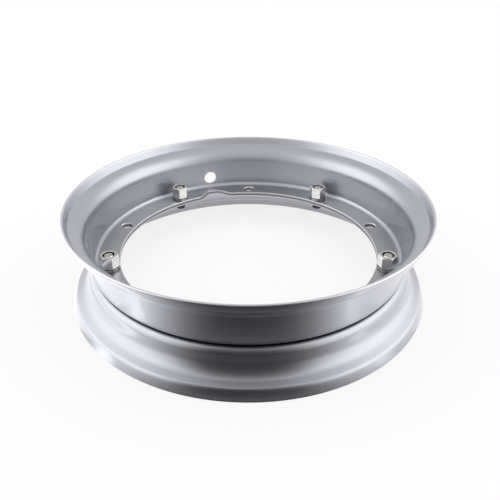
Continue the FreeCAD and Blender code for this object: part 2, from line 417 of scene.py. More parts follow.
outer_section = half_section(OUTER_DEPTH)
LAND_RADIUS = min(point.x for point in outer_section[:BEND_STEPS])
print(f"section of {len(outer_section)} points, flat ring out to {LAND_RADIUS / MM:.1f} mm")

# %% [markdown]
# ## Shared surface effects
#
# A sprayed or plated surface is never quite even. It has faint waves that soften every reflection, patches
# that are a little duller, and a few specks of dust. Each effect is a shader group that gives a height or a
# mask, so paint and plating use the same ones and only set their own scales and strengths.
# Noise on Object coordinates needs no unwrapping and stays put when the piece is reused.

# %% Helpers for shader groups
def shader_group(name, inputs, outputs):
    """Empty shader group with named inputs and outputs, and its two end nodes."""
    tree = bpy.data.node_groups.new(name, "ShaderNodeTree")
    for label, value in inputs.items():
        socket = tree.interface.new_socket(label, in_out="INPUT", socket_type="NodeSocketFloat")
        socket.default_value = value
    for label in outputs:
        tree.interface.new_socket(label, in_out="OUTPUT", socket_type="NodeSocketFloat")
    return tree, tree.nodes.new("NodeGroupInput").outputs, tree.nodes.new("NodeGroupOutput").inputs


def object_place(tree):
    """Object coordinates of the shaded point."""
    return add_node(tree, "ShaderNodeTexCoord").outputs["Object"]


def noise(tree, scale, detail):
    """Even noise on Object coordinates."""
    given = {"Vector": object_place(tree), "Scale": scale, "Detail": detail}
    return add_node(tree, "ShaderNodeTexNoise", given).outputs["Fac"]


print("shader groups read Object coordinates")

# %% Ripple of a sprayed or plated surface
PAINT_WAVE_SCALE = 90.0
PAINT_GRAIN_SCALE = 1500.0
GRAIN_SHARE = 0.3


def make_ripple_group():
    """Height of a sprayed or plated surface: long soft waves with fine grain on them."""
    scales = {"Wave Scale": PAINT_WAVE_SCALE, "Grain Scale": PAINT_GRAIN_SCALE, "Grain Share": GRAIN_SHARE}
    tree, given, result = shader_group("surface_ripple", scales, ["Height"])
    wave = noise(tree, given["Wave Scale"], 2.0)
    grain = noise(tree, given["Grain Scale"], 1.0)
    fill(tree, result, {"Height": calc(tree, "ADD", wave, product(tree, grain, given["Grain Share"]))})
    return tree


ripple_group = make_ripple_group()
print("ripple group:", ripple_group.name)

# %% Dull patches and specks
PAINT_PATCH_SCALE = 28.0
PAINT_SPECK_SCALE = 420.0
PATCH_LIMITS = (0.35, 0.7)
SPECK_RARITY = 0.995
SPECK_EDGE = (0.1, 0.25)


def make_wear_group():
    """Masks of wear: broad dull patches and sparse specks."""
    scales = {"Patch Scale": PAINT_PATCH_SCALE, "Speck Scale": PAINT_SPECK_SCALE}
    tree, given, result = shader_group("surface_wear", scales, ["Patches", "Specks"])
    patch = noise(tree, given["Patch Scale"], 3.0)
    spread = {"Vector": object_place(tree), "Scale": given["Speck Scale"]}
    cells = add_node(tree, "ShaderNodeTexVoronoi", spread).outputs
    drawn = add_node(tree, "ShaderNodeSeparateColor", {0: cells["Color"]}).outputs[0]
    rare = calc(tree, "GREATER_THAN", drawn, SPECK_RARITY)
    dot = ramp(tree, cells["Distance"], *SPECK_EDGE, 1.0, 0.0)
    fill(tree, result, {"Patches": ramp(tree, patch, *PATCH_LIMITS), "Specks": product(tree, rare, dot)})
    return tree


wear_group = make_wear_group()
print("wear group:", wear_group.name)

# %% [markdown]
# ## Where the paint gets painted shade and highlights
#
# The seam between the halves and the slot between the rings get a painted shade, and so do the flat rings,
# which come out darker than the walls. The trimmed edges and the top of the lip get a painted highlight, and
# the bore walls are darker. A mask could be painted by hand for each of them. Here one group finds these
# places from the radius and the height of each point, so they follow the sizes.

# %% Masks of places on a half
# painted shade along the seam between the halves and in the slot between the rings
SEAM_DARK = 0.2 * MM
SEAM_CLEAR = 1.1 * MM
SLOT_CLEAR = 0.6 * MM
# painted highlight: on the trimmed edge of the ring hole, and on the top of the outer half's lip
TRIMMED_EDGE = [SHEET - share * EDGE_ROUND for share in (1.4, 0.4, 0.1, 0.0)]
LIP_HIGHLIGHT_BAND = (1.2 * MM, 0.5 * MM)
LIP_HIGHLIGHT_SHARE = 0.5
RING_REACH = SHEET + 0.2 * MM
NEAR_STUD = 0.9
INSIDE_RING = RING_HOLE_RADIUS + 2.0 * MM
BORE_TOP = SHEET - 1.1 * STUD_HOLE_CHAMFER


def seam_shade_mask(tree, radius, away, on_land):
    """Painted shade in the groove between the halves on the tyre side and in the slot between the rings at
    their hole.
    """
    from_bend = length(tree, combine(tree, calc(tree, "SUBTRACT", radius, LAND_RADIUS),
                                     calc(tree, "SUBTRACT", away, RING_BEND)))
    tyre_side = calc(tree, "GREATER_THAN", from_bend, RING_BEND - SHEET / 2)
    beyond = product(tree, tyre_side, calc(tree, "SUBTRACT", 1.0, on_land))
    groove = product(tree, ramp(tree, away, SEAM_DARK, SEAM_CLEAR, 1.0, 0.0), beyond)
    slot = product(tree, ramp(tree, away, 0.0, SLOT_CLEAR, 1.0, 0.0), on_land)
    return calc(tree, "ADD", groove, slot)


def edge_highlight_mask(tree, height, away, on_land):
    """Painted highlight on the trimmed edge of the ring hole and on the top of the outer half's lip."""
    trimmed = product(tree, band(tree, away, TRIMMED_EDGE), on_land)
    lip_start, lip_full = [outer_high.z - drop for drop in LIP_HIGHLIGHT_BAND]
    return calc(tree, "MAXIMUM", trimmed, ramp(tree, height, lip_start, lip_full, 0.0, LIP_HIGHLIGHT_SHARE))


def ring_shade_mask(tree, radius, away):
    """Painted shade on the flat rings up to their bend."""
    flat = ramp(tree, radius, LAND_RADIUS, LAND_RADIUS + SHEET, 1.0, 0.0)
    return product(tree, flat, calc(tree, "LESS_THAN", away, RING_REACH))


def bore_mask(tree, radius, turn, away, on_land):
    """Walls of the stud holes."""
    from_stud = product(tree, calc(tree, "SUBTRACT", turn, FIRST_STUD_ANGLE), float(HOLE_COUNT))
    near_stud = calc(tree, "GREATER_THAN", calc(tree, "COSINE", from_stud), NEAR_STUD)
    in_ring = calc(tree, "GREATER_THAN", radius, INSIDE_RING)
    return product(tree, near_stud, in_ring, calc(tree, "LESS_THAN", away, BORE_TOP), on_land)


print(f"the seam stays dark for {SEAM_DARK / MM:.1f} mm and clears by {SEAM_CLEAR / MM:.1f} mm")


# %% Shader group for places on the halves
def make_places_group():
    """Masks for both halves: the bores, the painted shade in the seam and on the flat rings, and the painted
    highlight on the edges.
    """
    tree, _, result = shader_group("places_on_half", {}, ["Seam", "Edge", "Ring", "Bore"])
    radius, turn, height = polar(tree, object_place(tree))
    away = calc(tree, "ABSOLUTE", calc(tree, "SUBTRACT", height, JOINT_Z))
    on_land = calc(tree, "LESS_THAN", radius, LAND_RADIUS)
    fill(tree, result, {"Seam": seam_shade_mask(tree, radius, away, on_land),
                        "Edge": edge_highlight_mask(tree, height, away, on_land),
                        "Ring": ring_shade_mask(tree, radius, away),
                        "Bore": bore_mask(tree, radius, turn, away, on_land)})
    return tree


places_group = make_places_group()
print("places group:", places_group.name)

# %% [markdown]
# ## Silver paint
#
# The lacquer is full of fine metal flakes under a clear coat. The flakes act as a rough metal and the clear
# coat lays a sharp, weak mirror over them, so Principled with a high Metallic and some Coat does both.
# Two mixed shaders could do it as well, but one Principled survives the export to other programs.

# %% Helpers for materials
def new_material(name):
    """New material with its tree and its Principled shader."""
    material = bpy.data.materials.new(name)
    material.use_nodes = True
    return material, material.node_tree, material.node_tree.nodes["Principled BSDF"]


def blend(tree, share, first, second):
    """Colour between two colours."""
    return add_node(tree, "ShaderNodeMix", {0: share, 6: first, 7: second}, data_type="RGBA").outputs[2]


def group_outputs(tree, group, inputs=None):
    """Outputs of a shader group placed in a material."""
    return add_node(tree, "ShaderNodeGroup", inputs, node_tree=group).outputs


def bumped(tree, bump, height):
    """Normal of a surface with a small height on it."""
    return add_node(tree, "ShaderNodeBump", {**bump, "Height": height}).outputs[0]


print("materials start from a Principled shader")

# %% Silver paint
PAINT_COLOUR = (0.448, 0.455, 0.497, 1)
# colour of the painted shade on the flat rings at the bottom of the dishes
RING_SHADE_COLOUR = (0.33, 0.335, 0.355, 1)
# colour of the painted highlight on the trimmed edges and the top of the lip
EDGE_HIGHLIGHT_COLOUR = (0.8, 0.8, 0.82, 1)
BORE_COLOUR = (0.17, 0.17, 0.175, 1)
# colour of the painted shade in the seam and in the slot between the rings
SEAM_SHADE_COLOUR = (0.06, 0.06, 0.065, 1)
SPECK_COLOUR = (0.7, 0.7, 0.7, 1)
FLAKE_METALLIC = 0.97
FLAKE_ROUGHNESS = (0.32, 0.36)
COAT_WEIGHT = 0.6
COAT_ROUGHNESS = 0.06
PAINT_BUMP = {"Strength": 0.015, "Distance": 0.2 * MM}


def silver_paint():
    """Silver metallic lacquer with a soft gloss."""
    material, tree, shader = new_material("silver_paint")
    places = group_outputs(tree, places_group)
    wear = group_outputs(tree, wear_group)
    ripple = group_outputs(tree, ripple_group)
    # painted shade on the flat rings
    colour = blend(tree, places["Ring"], PAINT_COLOUR, RING_SHADE_COLOUR)
    # painted highlight on the trimmed edges and the top of the lip
    colour = blend(tree, places["Edge"], colour, EDGE_HIGHLIGHT_COLOUR)
    colour = blend(tree, wear["Specks"], colour, SPECK_COLOUR)
    colour = blend(tree, places["Bore"], colour, BORE_COLOUR)
    # the seam's painted shade goes into the base colour below; no clear coat over it, nor in the bores
    seam_shade_and_bores = calc(tree, "MAXIMUM", places["Seam"], places["Bore"])
    fill(tree, shader.inputs, {"Metallic": FLAKE_METALLIC, "Coat Roughness": COAT_ROUGHNESS,
                               "Base Color": blend(tree, places["Seam"], colour, SEAM_SHADE_COLOUR),
                               "Roughness": ramp(tree, wear["Patches"], 0.0, 1.0, *FLAKE_ROUGHNESS),
                               "Coat Weight": ramp(tree, seam_shade_and_bores, 0.0, 1.0, COAT_WEIGHT, 0.0),
                               "Normal": bumped(tree, PAINT_BUMP, ripple["Height"])})
    return material


paint = silver_paint()
print("paint:", paint.name)

# %% [markdown]
# ## Bright zinc and dark spring steel
#
# Nuts and bolts are plated, which gives a bright, slightly warm mirror with fine turning marks and duller
# patches. Their end faces are duller than their flats, and a painted shade darkens the ring where a bolt's
# thread meets its nut. The spring washers are hardened and stay darker. The two metals differ only in
# numbers, so one function makes both.

# %% Painted shade between bolt and nut
THREAD_SHADE = (3.3 * MM, 3.6 * MM, 4.4 * MM, 4.65 * MM)


def make_thread_shade_group():
    """Mask of the painted shade in the narrow gap between a bolt's end and its nut, at every clamp place."""
    tree, _, result = shader_group("thread_gap_shade", {}, ["Gap"])
    radius, turn, _ = polar(tree, object_place(tree))
    from_first = calc(tree, "SUBTRACT", turn, FIRST_BOLT_ANGLE)
    off_bolt = calc(tree, "WRAP", from_first, HOLE_PITCH / 2, -HOLE_PITCH / 2)
    ahead = calc(tree, "SUBTRACT", product(tree, radius, calc(tree, "COSINE", off_bolt)), BOLT_CIRCLE_RADIUS)
    aside = product(tree, radius, calc(tree, "SINE", off_bolt))
    own_radius = length(tree, combine(tree, ahead, aside))
    fill(tree, result, {"Gap": band(tree, own_radius, THREAD_SHADE)})
    return tree


thread_shade_group = make_thread_shade_group()
print("thread group:", thread_shade_group.name)

# %% Zinc and spring steel
# colour of the painted shade in the gap between a bolt's thread and its nut
THREAD_GAP_SHADE_COLOUR = (0.05, 0.05, 0.05, 1)
STEEL_PATCH_SCALE = 350.0
STEEL_RIPPLE = {"Wave Scale": 400.0, "Grain Scale": 4000.0}
STEEL_BUMP = {"Strength": 0.06, "Distance": 0.1 * MM}
END_FACING = (0.8, 0.95)
END_SHADE = 0.6
PATCH_ROUGHENS = 0.1


def plated_steel(name, bright, dull, gloss):
    """Plated steel between a bright and a dull colour, at a roughness."""
    material, tree, shader = new_material(name)
    wear = group_outputs(tree, wear_group, {"Patch Scale": STEEL_PATCH_SCALE})
    ripple = group_outputs(tree, ripple_group, STEEL_RIPPLE)
    gap = group_outputs(tree, thread_shade_group)
    plated = blend(tree, wear["Patches"], (*bright, 1), (*dull, 1))
    normal = add_node(tree, "ShaderNodeNewGeometry").outputs["Normal"]
    upwards = add_node(tree, "ShaderNodeSeparateXYZ", {0: normal}).outputs[2]
    ends = ramp(tree, calc(tree, "ABSOLUTE", upwards), *END_FACING)
    plated = blend(tree, ends, plated, (*(END_SHADE * level for level in dull), 1))
    roughness = ramp(tree, wear["Patches"], 0.0, 1.0, gloss, gloss + PATCH_ROUGHENS)
    # the gap between bolt and nut gets its painted shade in the base colour
    fill(tree, shader.inputs, {"Metallic": 1.0, "Roughness": roughness,
                               "Base Color": blend(tree, gap["Gap"], plated, THREAD_GAP_SHADE_COLOUR),
                               "Normal": bumped(tree, STEEL_BUMP, ripple["Height"])})
    return material


zinc = plated_steel("bright_zinc", (0.84, 0.84, 0.825), (0.72, 0.715, 0.695), 0.12)
spring_steel = plated_steel("spring_steel", (0.42, 0.42, 0.42), (0.26, 0.26, 0.27), 0.25)
print("metals:", zinc.name, spring_steel.name)

# %% [markdown]
# ## Notching and drilling a half
#
# The real sheet is punched: a notch in the ring's inner edge gives the valve room, and round holes take
# studs and bolts. The notch is a rule on polar coordinates: a ramp up, a flat floor and a ramp down, with
# smooth minimum and maximum as the rounded corners. Moving points keeps the rounded edge of the sheet,
# which a cut would lose. The holes are real cuts by a boolean, because they cross the mesh anywhere.

# %% Notch in the ring
NOTCH_WIDTH = 29.0 * MM
NOTCH_FLOOR = 9.0 * MM
NOTCH_DEPTH = 9.5 * MM
NOTCH_FLOOR_BLEND = 2.7 * MM
NOTCH_FOOT_BLEND = 3.2 * MM


def notched_places(tree, given):
    """Places with the inner edge of the ring pushed out at the valve."""
    radius, turn, height = own_polar(tree)
    away = calc(tree, "SUBTRACT", turn, given["Notch Angle"])
    aside = calc(tree, "ABSOLUTE", product(tree, radius, calc(tree, "SINE", away)))
    facing = calc(tree, "GREATER_THAN", calc(tree, "COSINE", away), 0.0)
    half_width = product(tree, given["Notch Width"], 0.5)
    half_floor = product(tree, given["Notch Floor"], 0.5)
    slope = calc(tree, "DIVIDE", given["Notch Depth"], calc(tree, "SUBTRACT", half_width, half_floor))
    rise = product(tree, calc(tree, "SUBTRACT", half_width, aside), slope)
    risen = calc(tree, "SMOOTH_MAX", rise, 0.0, NOTCH_FOOT_BLEND)
    floored = calc(tree, "SMOOTH_MIN", risen, given["Notch Depth"], NOTCH_FLOOR_BLEND)
    land = calc(tree, "SUBTRACT", given["Land Radius"], given["Ring Hole Radius"])
    inner = calc(tree, "DIVIDE", calc(tree, "SUBTRACT", given["Land Radius"], radius), land)
    share = add_node(tree, "ShaderNodeClamp", {0: inner}).outputs[0]
    push = product(tree, floored, share, facing)
    return from_polar(tree, calc(tree, "ADD", radius, push), turn, height)


print(f"notch {NOTCH_WIDTH / MM:.0f} mm wide and {NOTCH_DEPTH / MM:.1f} mm deep")

# %% Cutters for the holes
HOLE_STEPS = 40
MOUTH_REACH = 3 * STUD_HOLE_CHAMFER
RING_DRILL = 4 * SHEET
WALL_DRILL = 6 * SHEET


def bolt_circle(tree, count, radius, first_angle):
    """Points spaced evenly on the bolt circle, the first one at an angle."""
    circle = add_node(tree, "GeometryNodeMeshCircle", {"Vertices": count, "Radius": radius})
    return moved(tree, circle.outputs[0], Rotation=combine(tree, z=first_angle))


def around_bolt_circle(tree, given, cutter, first_angle):
    """Copies of a cutter on the bolt circle, starting at an angle."""
    points = bolt_circle(tree, given["Hole Count"], given["Bolt Circle Radius"], first_angle)
    copies = add_node(tree, "GeometryNodeInstanceOnPoints", {"Points": points, "Instance": cutter})
    return add_node(tree, "GeometryNodeRealizeInstances", {0: copies.outputs[0]}).outputs[0]


def round_cutter(tree, bottom_radius, top_radius, depth, middle):
    """Cone or cylinder along Z with its middle at a height."""
    sizes = {"Vertices": HOLE_STEPS, "Radius Top": top_radius, "Radius Bottom": bottom_radius, "Depth": depth}
    cone = add_node(tree, "GeometryNodeMeshCone", sizes).outputs["Mesh"]
    return moved(tree, cone, Translation=combine(tree, z=calc(tree, "SUBTRACT", middle, depth / 2)))


def stud_mouth(tree, given):
    """Cone that bevels a stud hole on the open side, whichever way the dish opens."""
    wide = calc(tree, "ADD", given["Stud Hole Radius"], MOUTH_REACH)
    narrow = calc(tree, "SUBTRACT", given["Stud Hole Radius"], MOUTH_REACH)
    upwards = calc(tree, "GREATER_THAN", given["Open Side"], 0.0)
    top, bottom = [add_node(tree, "GeometryNodeSwitch", {"Switch": upwards, "True": up, "False": down},
                            input_type="FLOAT").outputs[0] for up, down in ((wide, narrow), (narrow, wide))]
    middle = calc(tree, "MULTIPLY_ADD", given["Open Side"], -STUD_HOLE_CHAMFER, given["Open Face"])
    return round_cutter(tree, bottom, top, 2 * MOUTH_REACH, middle)


def cut_away(tree, mesh, *cutters):
    """Mesh with all cutters taken away by one boolean."""
    made = add_node(tree, "GeometryNodeMeshBoolean", {"Mesh 1": mesh},
                    operation="DIFFERENCE", solver="MANIFOLD")
    for cutter in cutters:
        tree.links.new(cutter, made.inputs["Mesh 2"])
    return made.outputs[0]


def valve_drill(tree, given):
    """Drill through the wall at the valve's place, along its axis."""
    drill = round_cutter(tree, given["Valve Hole Radius"], given["Valve Hole Radius"], WALL_DRILL, 0.0)
    swing = combine(tree, y=math.pi / 2, z=given["Notch Angle"])
    return moved(tree, drill, Rotation=swing, Translation=given["Valve Place"])


print(f"{HOLE_COUNT} stud holes with bevelled mouths, {HOLE_COUNT} bolt holes and a valve hole")

# %% Tree of a pressed half
SHARED_SIZES = {"Ring Hole Radius": RING_HOLE_RADIUS, "Land Radius": LAND_RADIUS, "Notch Angle": VALVE_ANGLE,
                "Notch Width": NOTCH_WIDTH, "Notch Floor": NOTCH_FLOOR, "Notch Depth": NOTCH_DEPTH,
                "Bolt Circle Radius": BOLT_CIRCLE_RADIUS, "Stud Angle": FIRST_STUD_ANGLE,
                "Stud Hole Radius": STUD_HOLE_RADIUS, "Bolt Angle": FIRST_BOLT_ANGLE,
                "Bolt Hole Radius": BOLT_HOLE_RADIUS, "Valve Hole Radius": VALVE_HOLE_RADIUS}
OWN_SIZES = ["Ring Middle", "Open Face", "Open Side"]


def half_tree():
    """Tree that makes one pressed half from its section."""
    inputs = {"Steps": "Int", "Hole Count": "Int", "Valve Place": "Vector", "Material": "Material",
              **dict.fromkeys([*SHARED_SIZES, *OWN_SIZES], "Float")}
    tree, given, identifiers = geometry_tree("pressed_half", inputs)
    turned = lathe(tree, given["Geometry"], given["Steps"])
    notched = moved_points(tree, turned, notched_places(tree, given))
    stud_drill, bolt_drill = [round_cutter(tree, given[hole], given[hole], RING_DRILL, given["Ring Middle"])
                              for hole in ("Stud Hole Radius", "Bolt Hole Radius")]
    drilled = cut_away(tree, notched, around_bolt_circle(tree, given, stud_drill, given["Stud Angle"]),
                       around_bolt_circle(tree, given, stud_mouth(tree, given), given["Stud Angle"]),
                       around_bolt_circle(tree, given, bolt_drill, given["Bolt Angle"]),
                       valve_drill(tree, given))
    finish_tree(tree, drilled, given["Material"])
    return tree, identifiers


pressed_half, half_inputs = half_tree()
print("half tree inputs:", len(half_inputs))

# %% [markdown]
# ## The two halves
#
# On the real rim the deep and the shallow half come from two press tools with the same ring, bends and lip.
# Two models would drift apart, so one function makes both, and only the depth and the side differ.
# The shallow half has no valve hole: the drill stands at the deep half's wall and misses the other.

# %% The two halves
TURN_STEPS = 600


def make_half(node, depth, side):
    """One pressed half; side is 1 for the dish that opens upwards and -1 for the one below."""
    points = [(point.x, JOINT_Z + side * point.y) for point in half_section(depth)]
    values = {"Steps": TURN_STEPS, "Hole Count": HOLE_COUNT, "Valve Place": VALVE_PLACE, "Material": paint,
              **SHARED_SIZES, "Ring Middle": JOINT_Z + side * SHEET / 2,
              "Open Face": JOINT_Z + side * SHEET, "Open Side": float(side)}
    mesh = section_mesh(node + "_section", points, True)
    piece = make_piece(node + "_sheet", mesh, pressed_half, half_inputs, values)
    dress(piece, node)


make_half("outer_half", OUTER_DEPTH, 1)
make_half("inner_half", INNER_DEPTH, -1)

# %% [markdown]
# ## Hexagons and threads by rule
#
# A nut is turned first and gets its flats afterwards, and so it is here: the lathe makes the round blank
# with its chamfers, then a rule keeps every point inside a hexagon. The thread at the bolt's end is the same
# kind of rule, with a helix in place of the hexagon. The curved edges between chamfer and flats come out
# by themselves, as they do in metal. A six-sided cylinder would have no such edges.

# %% Rules for the fasteners
WRENCH_SIZE = 13.0 * MM
THREAD_PITCH = 1.25 * MM
THREAD_DEPTH = 0.6 * MM
HEX_SIXTH = math.pi / 3


def inside_hexagon(tree, radius, turn, wrench):
    """Radius kept inside a hexagon that has a corner at turn zero."""
    from_corner = calc(tree, "FLOORED_MODULO", turn, HEX_SIXTH)
    from_flat = calc(tree, "SUBTRACT", from_corner, HEX_SIXTH / 2)
    flat = calc(tree, "DIVIDE", product(tree, wrench, 0.5), calc(tree, "COSINE", from_flat))
    return calc(tree, "MINIMUM", radius, flat)


def inside_thread(tree, radius, turn, height, bolt_radius, start):
    """Radius kept inside a screw thread above a start height."""
    along = calc(tree, "DIVIDE", height, THREAD_PITCH)
    around = calc(tree, "DIVIDE", turn, 2 * math.pi)
    wave = calc(tree, "PINGPONG", calc(tree, "SUBTRACT", along, around), 0.5)
    threaded = calc(tree, "GREATER_THAN", height, start)
    cut = product(tree, wave, 2 * THREAD_DEPTH, threaded)
    return calc(tree, "MINIMUM", radius, calc(tree, "SUBTRACT", bolt_radius, cut))


def nut_shape(tree, given, blank):
    """Flats of a nut."""
    radius, turn, height = own_polar(tree)
    flats = inside_hexagon(tree, radius, turn, given["Wrench"])
    return moved_points(tree, blank, from_polar(tree, flats, turn, height))


def bolt_shape(tree, given, blank):
    """Flats and thread of a bolt."""
    radius, turn, height = own_polar(tree)
    flats = inside_hexagon(tree, radius, turn, given["Wrench"])
    cut = inside_thread(tree, flats, turn, height, given["Thread Radius"], given["Thread Start"])
    return moved_points(tree, blank, from_polar(tree, cut, turn, height))


print(f"hexagons {WRENCH_SIZE / MM:.0f} mm across flats, thread pitch {THREAD_PITCH / MM:.2f} mm")

# %% Slit of a spring washer
WASHER_SLIT = 0.8 * MM
WASHER_SLIT_SLANT = math.radians(20.0)
WASHER_SLIT_TURN = math.radians(150.0)


def washer_shape(tree, given, blank):
    """Slanting slit of a spring washer, cut by a thin blade."""
    size = combine(tree, given["Reach"], given["Slit"], given["Reach"])
    blade = add_node(tree, "GeometryNodeMeshCube", {"Size": size}).outputs[0]
    leaned = moved(tree, blade, Rotation=(WASHER_SLIT_SLANT, 0, 0),
                   Translation=combine(tree, product(tree, given["Reach"], 0.5)))
    placed = moved(tree, leaned, Rotation=(0, 0, WASHER_SLIT_TURN),
                   Translation=combine(tree, z=given["Middle"]))
    return cut_away(tree, blank, placed)


print(f"washers slit by {WASHER_SLIT / MM:.1f} mm")

# %% [markdown]
# ## One tree for each kind of fastener
#
# All clamp places are alike, so each tree makes one piece on the axis and copies it onto the bolt circle.
# A wrench leaves every nut at its own angle. These angles follow the real rim, so an Index Switch holds them.

# %% Trees of the fasteners
NUT_TURNS = [math.radians(turn) for turn in (48.0, 26.0, 42.0, 10.0, 2.0)]
NO_TURNS = [0.0] * len(NUT_TURNS)


def turn_of_each(tree, index, turns):
    """Field that picks a turn for each clamp place."""
    switch = add_node(tree, "GeometryNodeIndexSwitch", data_type="FLOAT")
    for _ in range(len(turns) - len(switch.index_switch_items)):
        switch.index_switch_items.new()
    tree.links.new(index, switch.inputs["Index"])
    for place, turn in enumerate(turns, start=1):
        switch.inputs[place].default_value = turn
    return switch.outputs[0]


def copies_at_bolts(tree, given, piece, turns):
    """Copies of a piece at all clamp places, each turned outwards and by its own angle."""
    points = bolt_circle(tree, given["Count"], given["Bolt Circle"], given["First Angle"])
    index = add_node(tree, "GeometryNodeInputIndex").outputs[0]
    pitch = calc(tree, "DIVIDE", 2 * math.pi, given["Count"])
    outwards = calc(tree, "MULTIPLY_ADD", index, pitch, given["First Angle"])
    angles = combine(tree, z=calc(tree, "ADD", outwards, turn_of_each(tree, index, turns)))
    rotation = add_node(tree, "FunctionNodeEulerToRotation", {0: angles})
    return add_node(tree, "GeometryNodeInstanceOnPoints",
                    {"Points": points, "Instance": piece, "Rotation": rotation.outputs[0]}).outputs[0]


def fastener_tree(name, turns, shape, lengths):
    """Tree that turns a section, shapes it by a rule and copies it to the clamp places."""
    inputs = {"Steps": "Int", "Count": "Int", "Bolt Circle": "Float", "First Angle": "Float",
              "Material": "Material", **dict.fromkeys(lengths, "Float")}
    tree, given, identifiers = geometry_tree(name, inputs)
    blank = lathe(tree, given["Geometry"], given["Steps"])
    finish_tree(tree, copies_at_bolts(tree, given, shape(tree, given, blank), turns), given["Material"])
    return tree, identifiers


bolt_sizes = ["Wrench", "Thread Radius", "Thread Start"]
washer_sizes = ["Reach", "Slit", "Middle"]
nut_tree, nut_inputs = fastener_tree("hex_nut", NUT_TURNS, nut_shape, ["Wrench"])
bolt_tree, bolt_inputs = fastener_tree("hex_bolt", NO_TURNS, bolt_shape, bolt_sizes)
washer_tree, washer_inputs = fastener_tree("split_washer", NO_TURNS, washer_shape, washer_sizes)
print("fastener trees:", nut_tree.name, bolt_tree.name, washer_tree.name)

# %% [markdown]
# ## Nuts
#
# The nuts are tall, so that a wrench reaches them inside the dish, and chamfered at both ends. The section
# carries several rows along each chamfer. Where the hexagon rule cuts through these rows, the curved edge of
# a real nut appears.

# %% Nuts
BOLT_RADIUS = 4.0 * MM
THREAD_ROOM = 0.05 * MM
NUT_COUNTERSINK = 0.6 * MM
HEX_FACE_SHARE = 0.95
HEX_CHAMFER_ANGLE = math.radians(30.0)
CHAMFER_ROWS = 8
HEX_STEPS = 72
CORNER_RADIUS = WRENCH_SIZE / math.sqrt(3)
FACE_RADIUS = HEX_FACE_SHARE * WRENCH_SIZE / 2
CHAMFER_DROP = (CORNER_RADIUS - FACE_RADIUS) * math.tan(HEX_CHAMFER_ANGLE)


def chamfer_rows(face, side):
    """Rows of a hex chamfer from its flat face to its corners; side is 1 where the body lies above."""
    rows = []
    for row in range(CHAMFER_ROWS + 1):
        share = row / CHAMFER_ROWS
        rows.append((FACE_RADIUS + (CORNER_RADIUS - FACE_RADIUS) * share, face + side * CHAMFER_DROP * share))
    return rows


nuts_low, nuts_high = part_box("clamp_nuts")
NUT_LOW = nuts_low.z
NUT_HIGH = nuts_high.z
bore = BOLT_RADIUS + THREAD_ROOM
mouth = bore + NUT_COUNTERSINK
nut_section = chamfer_rows(NUT_LOW, 1) + chamfer_rows(NUT_HIGH, -1)[::-1]
nut_section += [(mouth, NUT_HIGH), (bore, NUT_HIGH - NUT_COUNTERSINK), (bore, NUT_LOW + NUT_COUNTERSINK),
                (mouth, NUT_LOW)]
clamp_values = {"Steps": HEX_STEPS, "Count": HOLE_COUNT, "Bolt Circle": BOLT_CIRCLE_RADIUS,
                "First Angle": FIRST_BOLT_ANGLE, "Material": zinc}
nuts = make_piece("hex_nuts", section_mesh("nut_section", nut_section, True), nut_tree, nut_inputs,
                  {**clamp_values, "Wrench": WRENCH_SIZE})
dress(nuts, "clamp_nuts")

# %% [markdown]
# ## Bolts
#
# Only the bolts' ends show inside the nuts, and their heads under the lower ring. The section is open at the
# axis, where the lathe's weld closes it. Close rows in the top part give the thread rule points to move.

# %% Bolts
BOLT_END_CHAMFER = 1.0 * MM
THREAD_TURNS = 5
THREAD_ROWS = 10
bolts_low, bolts_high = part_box("clamp_bolts")
BOLT_LOW = bolts_low.z
BOLT_HIGH = bolts_high.z
HEAD_SEAT = JOINT_Z - SHEET
THREAD_START = NUT_HIGH - THREAD_TURNS * THREAD_PITCH
bolt_section = [(0.0, BOLT_LOW)] + chamfer_rows(BOLT_LOW, 1)
bolt_section += [(CORNER_RADIUS, HEAD_SEAT), (BOLT_RADIUS, HEAD_SEAT), (BOLT_RADIUS, THREAD_START)]
thread_row = THREAD_PITCH / THREAD_ROWS
row_z = THREAD_START + thread_row
while row_z < BOLT_HIGH - thread_row / 2:
    chamfered = BOLT_RADIUS - max(0.0, row_z - (BOLT_HIGH - BOLT_END_CHAMFER))
    bolt_section.append((chamfered, row_z))
    row_z += thread_row
bolt_section += [(BOLT_RADIUS - BOLT_END_CHAMFER, BOLT_HIGH), (0.0, BOLT_HIGH)]
bolts = make_piece("hex_bolts", section_mesh("bolt_section", bolt_section, False), bolt_tree, bolt_inputs,
                   {**clamp_values, "Wrench": WRENCH_SIZE, "Thread Radius": BOLT_RADIUS,
                    "Thread Start": THREAD_START})
dress(bolts, "clamp_bolts")

# %% [markdown]
# ## Spring washers
#
# A spring washer is a ring of square wire with one slanting slit, pressed flat under the tight nut. Its
# section is a rectangle with rounded corners. The slit is cut by a boolean blade, because a sweep that
# stops short of a full turn would leave upright ends and not slanting ones.

# %% Spring washers
WASHER_INNER_RADIUS = BOLT_RADIUS + THREAD_ROOM
WASHER_OUTER_RADIUS = WASHER_INNER_RADIUS + 3.35 * MM
WASHER_ROUND = 0.3 * MM
BLADE_REACH = WASHER_OUTER_RADIUS + 1.0 * MM


def rounded_rectangle(r_low, r_high, z_low, z_high, radius):
    """Section with four rounded corners."""
    points = []
    for centre_r, centre_z, first in ((r_high - radius, z_high - radius, 0.0),
                                      (r_low + radius, z_high - radius, math.pi / 2),
                                      (r_low + radius, z_low + radius, math.pi),
                                      (r_high - radius, z_low + radius, 3 * math.pi / 2)):
        corner = arc(Vector((centre_r, centre_z)), radius, first, math.pi / 2, ROUND_STEPS)
        points += [(point.x, point.y) for point in corner]
    return points


